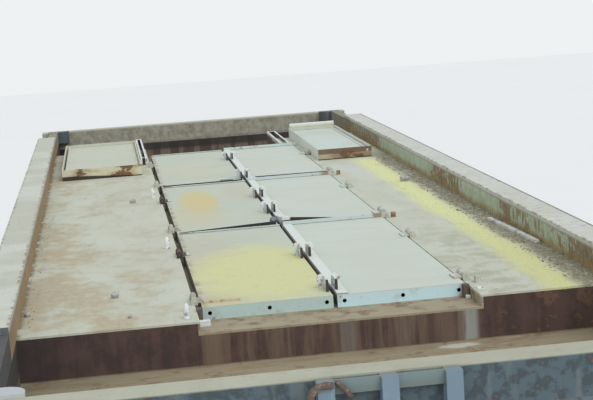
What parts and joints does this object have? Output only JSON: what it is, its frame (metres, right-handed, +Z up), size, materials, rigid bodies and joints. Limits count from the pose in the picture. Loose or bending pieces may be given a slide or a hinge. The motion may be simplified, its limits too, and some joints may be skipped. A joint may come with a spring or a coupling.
{
  "type": "covered hopper wagon",
  "caption": "Two-axle rail hopper wagon with a sunken roof deck, hinged loading lids, corner hatches, sloped hopper sheets and bottom doors.",
  "frame": {"origin": "on the floor under the wheel flanges, midway between the buffers and on the wagon's centre line", "axes": "+Z up, +Y along the wagon towards the far end of the picture, +X to the right in the picture"},
  "size_m": [2.478, 9.1656, 3.5998],
  "materials": {
    "deck": "worn grey paint with rust and dust",
    "pale": "pale grey paint, worn",
    "rust": "brown paint and rust",
    "lid": "grey-beige paint with yellow dust",
    "body": "grey paint, streaked",
    "black": "black paint, oily and dusty",
    "steel": "bare steel, rolled bright on the treads"
  },
  "bodies": {
    "wagon_body": {"air_reservoir": "black", "axle_guards": "black", "axleboxes": "black", "body_posts": "body", "brake_beams": "black", "brake_cylinder": "black", "brake_hangers": "black", "brake_levers": "black", "brake_shoes": "black", "buffer_heads": "black", "buffer_housings": "black", "corner_blocks": "pale", "corner_hatch_frames": "deck", "cross_members": "black", "deck_left": "deck", "deck_right": "deck", "draw_beams": "black", "draw_hooks": "black", "end_ladders": "pale", "end_rims": "pale", "end_sheets": "body", "end_slopes": "body", "end_wells": "deck", "foot_steps": "black", "guide_bars": "pale", "hatch_channel": "deck", "headstocks": "black", "hinge_brackets": "rust", "hopper_ridge": "rust", "leaf_springs": "black", "lever_brackets": "black", "outlet_chutes": "rust", "outlet_frames": "rust", "rim_rails": "rust", "roof_beams": "rust", "side_gussets": "body", "side_rims": "pale", "side_sheets": "body", "side_slopes": "body", "side_stakes": "body", "solebars": "black", "spring_shoes": "black"},
    "front_wheelset": {"front_axle": "steel", "front_wheels": "steel"},
    "rear_wheelset": {"rear_axle": "steel", "rear_wheels": "steel"},
    "lid_near_left": {"lid_near_left": "lid"},
    "lid_near_right": {"lid_near_right": "lid"},
    "lid_middle_left": {"lid_middle_left": "lid"},
    "lid_middle_right": {"lid_middle_right": "lid"},
    "lid_far_left": {"lid_far_left": "lid"},
    "lid_far_right": {"lid_far_right": "lid"},
    "corner_cover_left": {"corner_cover_left": "deck"},
    "corner_cover_right": {"corner_cover_right": "deck"},
    "front_outer_door": {"front_outer_door": "rust"},
    "front_inner_door": {"front_inner_door": "rust"},
    "rear_inner_door": {"rear_inner_door": "rust"},
    "rear_outer_door": {"rear_outer_door": "rust"}
  },
  "joints": [
    {"name": "front_wheelset_turn", "type": "hinge", "parent": "wagon_body", "child": "front_wheelset", "pos_m": [0, -2.44, 0.498], "axis": [1, 0, 0], "continuous": true},
    {"name": "rear_wheelset_turn", "type": "hinge", "parent": "wagon_body", "child": "rear_wheelset", "pos_m": [0, 2.44, 0.498], "axis": [1, 0, 0], "continuous": true},
    {"name": "lid_near_left_hinge", "type": "hinge", "parent": "wagon_body", "child": "lid_near_left", "pos_m": [-0.45, -1.8385, 3.504], "axis": [0, -1, 0], "range_deg": [0, 100]},
    {"name": "lid_near_right_hinge", "type": "hinge", "parent": "wagon_body", "child": "lid_near_right", "pos_m": [0.614, -1.8385, 3.504], "axis": [0, 1, 0], "range_deg": [0, 100]},
    {"name": "lid_middle_left_hinge", "type": "hinge", "parent": "wagon_body", "child": "lid_middle_left", "pos_m": [-0.45, -0.1755, 3.504], "axis": [0, -1, 0], "range_deg": [0, 100]},
    {"name": "lid_middle_right_hinge", "type": "hinge", "parent": "wagon_body", "child": "lid_middle_right", "pos_m": [0.614, -0.1755, 3.504], "axis": [0, 1, 0], "range_deg": [0, 100]},
    {"name": "lid_far_left_hinge", "type": "hinge", "parent": "wagon_body", "child": "lid_far_left", "pos_m": [-0.45, 1.4875, 3.504], "axis": [0, -1, 0], "range_deg": [0, 100]},
    {"name": "lid_far_right_hinge", "type": "hinge", "parent": "wagon_body", "child": "lid_far_right", "pos_m": [0.614, 1.4875, 3.504], "axis": [0, 1, 0], "range_deg": [0, 100]},
    {"name": "corner_cover_left_hinge", "type": "hinge", "parent": "wagon_body", "child": "corner_cover_left", "pos_m": [-1.002, 2.12, 3.535], "axis": [0, -1, 0], "range_deg": [0, 95]},
    {"name": "corner_cover_right_hinge", "type": "hinge", "parent": "wagon_body", "child": "corner_cover_right", "pos_m": [0.962, 2.12, 3.535], "axis": [0, 1, 0], "range_deg": [0, 95]},
    {"name": "rear_outer_door_hinge", "type": "hinge", "parent": "wagon_body", "child": "rear_outer_door", "pos_m": [0, 1.516, 0.655], "axis": [1, 0, 0], "range_deg": [0, 75]},
    {"name": "rear_inner_door_hinge", "type": "hinge", "parent": "wagon_body", "child": "rear_inner_door", "pos_m": [0, 0.544, 0.655], "axis": [-1, 0, 0], "range_deg": [0, 75]},
    {"name": "front_outer_door_hinge", "type": "hinge", "parent": "wagon_body", "child": "front_outer_door", "pos_m": [0, -1.516, 0.655], "axis": [-1, 0, 0], "range_deg": [0, 75]},
    {"name": "front_inner_door_hinge", "type": "hinge", "parent": "wagon_body", "child": "front_inner_door", "pos_m": [0, -0.544, 0.655], "axis": [1, 0, 0], "range_deg": [0, 75]}
  ]
}
